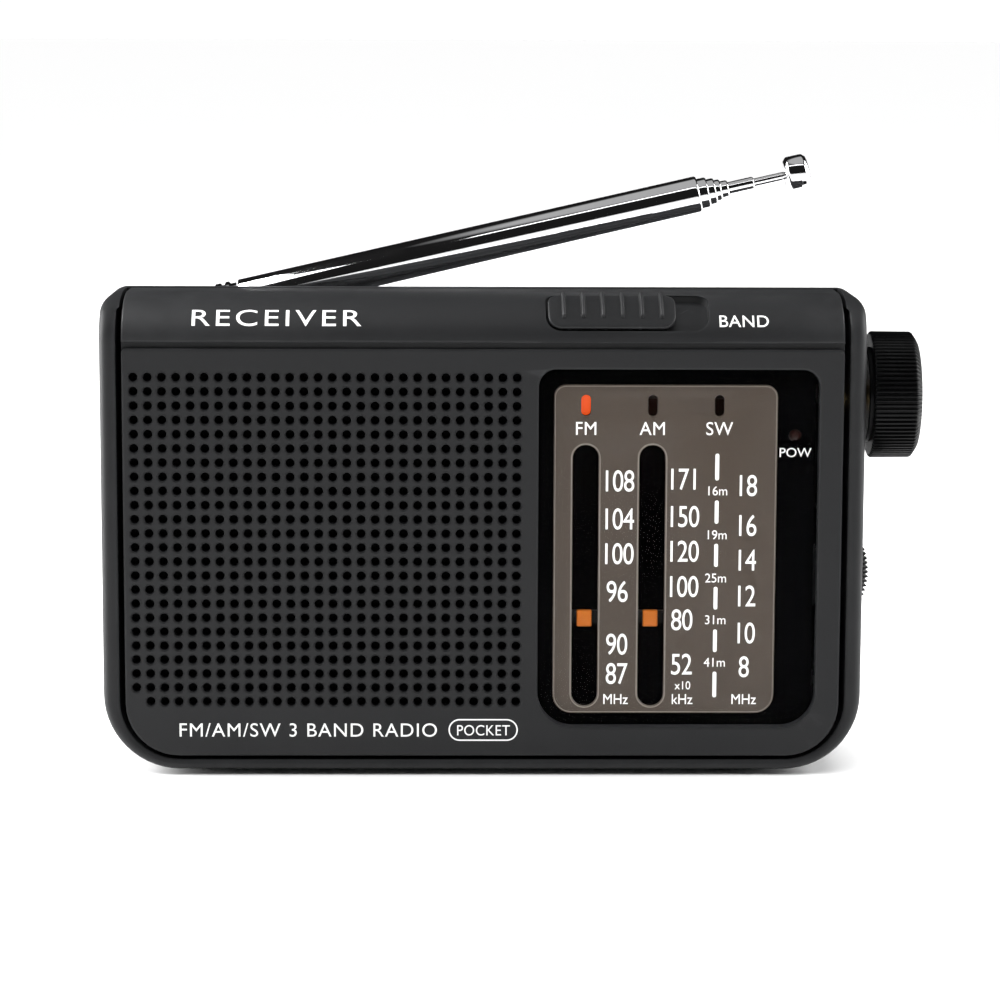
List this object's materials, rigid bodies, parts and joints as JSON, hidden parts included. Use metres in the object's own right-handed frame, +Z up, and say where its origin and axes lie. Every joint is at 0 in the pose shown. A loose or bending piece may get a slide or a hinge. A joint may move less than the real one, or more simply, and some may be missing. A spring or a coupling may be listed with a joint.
{
  "type": "pocket shortwave receiver",
  "caption": "Pocket three-band receiver with a perforated speaker grille, slide-rule dial, side tuning knob, volume wheel, band slider and telescopic antenna.",
  "frame": {"origin": "middle of the whole receiver's bounding box, on the surface it stands on", "axes": "+X to the right as the dial is seen, +Y from the face to the back, +Z up"},
  "size_m": [0.128, 0.029, 0.0966],
  "materials": {
    "case": "fine-textured charcoal",
    "black_plastic": "satin black",
    "knob": "ribbed black",
    "lens": "clear gloss",
    "dial": "printed taupe",
    "orange": "satin orange",
    "led": "tinted lens",
    "grey_plastic": "moulded",
    "steel": "zinc plated",
    "brass": "turned",
    "chrome": "polished",
    "cord": "braided",
    "cloth": "black felt",
    "paper": "pressed paper",
    "ferrite": "sintered",
    "board": "solder mask",
    "can": "sleeved can",
    "copper": "enamelled wire",
    "rubber": "soft strip",
    "cell": "plain printed jacket"
  },
  "bodies": {
    "case": {"front_cover": "case", "rear_shell": "case", "foot_left": "rubber", "foot_right": "rubber", "case_screw_1": "steel", "case_screw_2": "steel", "case_screw_3": "steel", "case_screw_4": "steel", "dial_window": "lens", "dial_plate": "dial", "dial_mask": "black_plastic", "power_led": "led", "guide_rod_left": "steel", "guide_rod_right": "steel", "dial_cord": "cord", "pulley_axle": "steel", "tuning_slide_pot": "grey_plastic", "tuning_bush": "brass", "band_switch_body": "grey_plastic", "volume_pot": "grey_plastic", "speaker_cloth": "cloth", "speaker_frame": "steel", "speaker_cone": "paper", "speaker_magnet": "ferrite", "earphone_jack": "black_plastic", "main_board": "board", "tuner_chip": "black_plastic", "amplifier_chip": "black_plastic", "capacitor_large": "can", "capacitor_small": "can", "ferrite_rod": "ferrite", "ferrite_coil": "copper", "battery_left": "cell", "battery_right": "cell", "battery_spring": "steel", "battery_contact": "steel", "battery_bridge": "steel"},
    "door": {"battery_door": "case"},
    "tuning": {"tuning_knob": "knob", "tuning_shaft": "steel"},
    "pulley": {"cord_pulley": "brass"},
    "carriage": {"pointer_carriage": "grey_plastic", "pointer_fm": "orange", "pointer_am": "orange"},
    "band": {"band_slider": "black_plastic", "band_indicator": "orange"},
    "volume": {"volume_wheel": "knob"},
    "swivel": {"antenna_base": "black_plastic", "antenna_pin": "chrome"},
    "arm": {"antenna_knuckle": "chrome", "antenna_section_1": "chrome"},
    "stage_2": {"antenna_section_2": "chrome"},
    "stage_3": {"antenna_section_3": "chrome"},
    "stage_4": {"antenna_section_4": "chrome"},
    "stage_5": {"antenna_section_5": "chrome"},
    "stage_6": {"antenna_section_6": "chrome"},
    "stage_7": {"antenna_section_7": "chrome", "antenna_tip": "chrome"}
  },
  "joints": [
    {"name": "door_lift", "type": "slide", "parent": "case", "child": "door", "axis": [0, 1, 0], "range_m": [0, 0.03]},
    {"name": "tuning_turn", "type": "hinge", "parent": "case", "child": "tuning", "pos_m": [0.0455, -0.004, 0.05936], "axis": [-1, 0, 0], "range_deg": [-362, 858]},
    {"name": "pulley_turn", "type": "hinge", "parent": "case", "child": "pulley", "pos_m": [0.0455, -0.004, 0.00856], "axis": [-1, 0, 0], "range_deg": [-362.5, 858.5]},
    {"name": "pointer_travel", "type": "slide", "parent": "case", "child": "carriage", "axis": [0, 0, 1], "range_m": [-0.0095, 0.0225]},
    {"name": "band_slide", "type": "slide", "parent": "case", "child": "band", "axis": [1, 0, 0], "range_m": [0, 0.0048]},
    {"name": "volume_turn", "type": "hinge", "parent": "case", "child": "volume", "pos_m": [0.0469, 0.0043, 0.02956], "axis": [0, 1, 0], "range_deg": [0, 300]},
    {"name": "antenna_swivel", "type": "hinge", "parent": "case", "child": "swivel", "pos_m": [-0.0516, 0.0095, 0.06756], "axis": [0, 0, 1], "range_deg": [0, 180]},
    {"name": "antenna_tilt", "type": "hinge", "parent": "swivel", "child": "arm", "pos_m": [-0.0516, 0.0095, 0.07121], "axis": [0, -1, 0], "range_deg": [-12.9, 77.1]},
    {"name": "extend_2", "type": "slide", "parent": "arm", "child": "stage_2", "axis": [0.9748, 0, 0.2233], "range_m": [0, 0.066]},
    {"name": "extend_3", "type": "slide", "parent": "stage_2", "child": "stage_3", "axis": [0.9748, 0, 0.2233], "range_m": [0, 0.066]},
    {"name": "extend_4", "type": "slide", "parent": "stage_3", "child": "stage_4", "axis": [0.9748, 0, 0.2233], "range_m": [0, 0.066]},
    {"name": "extend_5", "type": "slide", "parent": "stage_4", "child": "stage_5", "axis": [0.9748, 0, 0.2233], "range_m": [0, 0.066]},
    {"name": "extend_6", "type": "slide", "parent": "stage_5", "child": "stage_6", "axis": [0.9748, 0, 0.2233], "range_m": [-0.0036, 0.066]},
    {"name": "extend_7", "type": "slide", "parent": "stage_6", "child": "stage_7", "axis": [0.9748, 0, 0.2233], "range_m": [-0.0045, 0.066]}
  ],
  "couplings": [
    {"joint": "pointer_travel", "follows": "tuning_turn", "m_per_rad": 0.0015},
    {"joint": "pulley_turn", "follows": "tuning_turn", "ratio": 1}
  ]
}
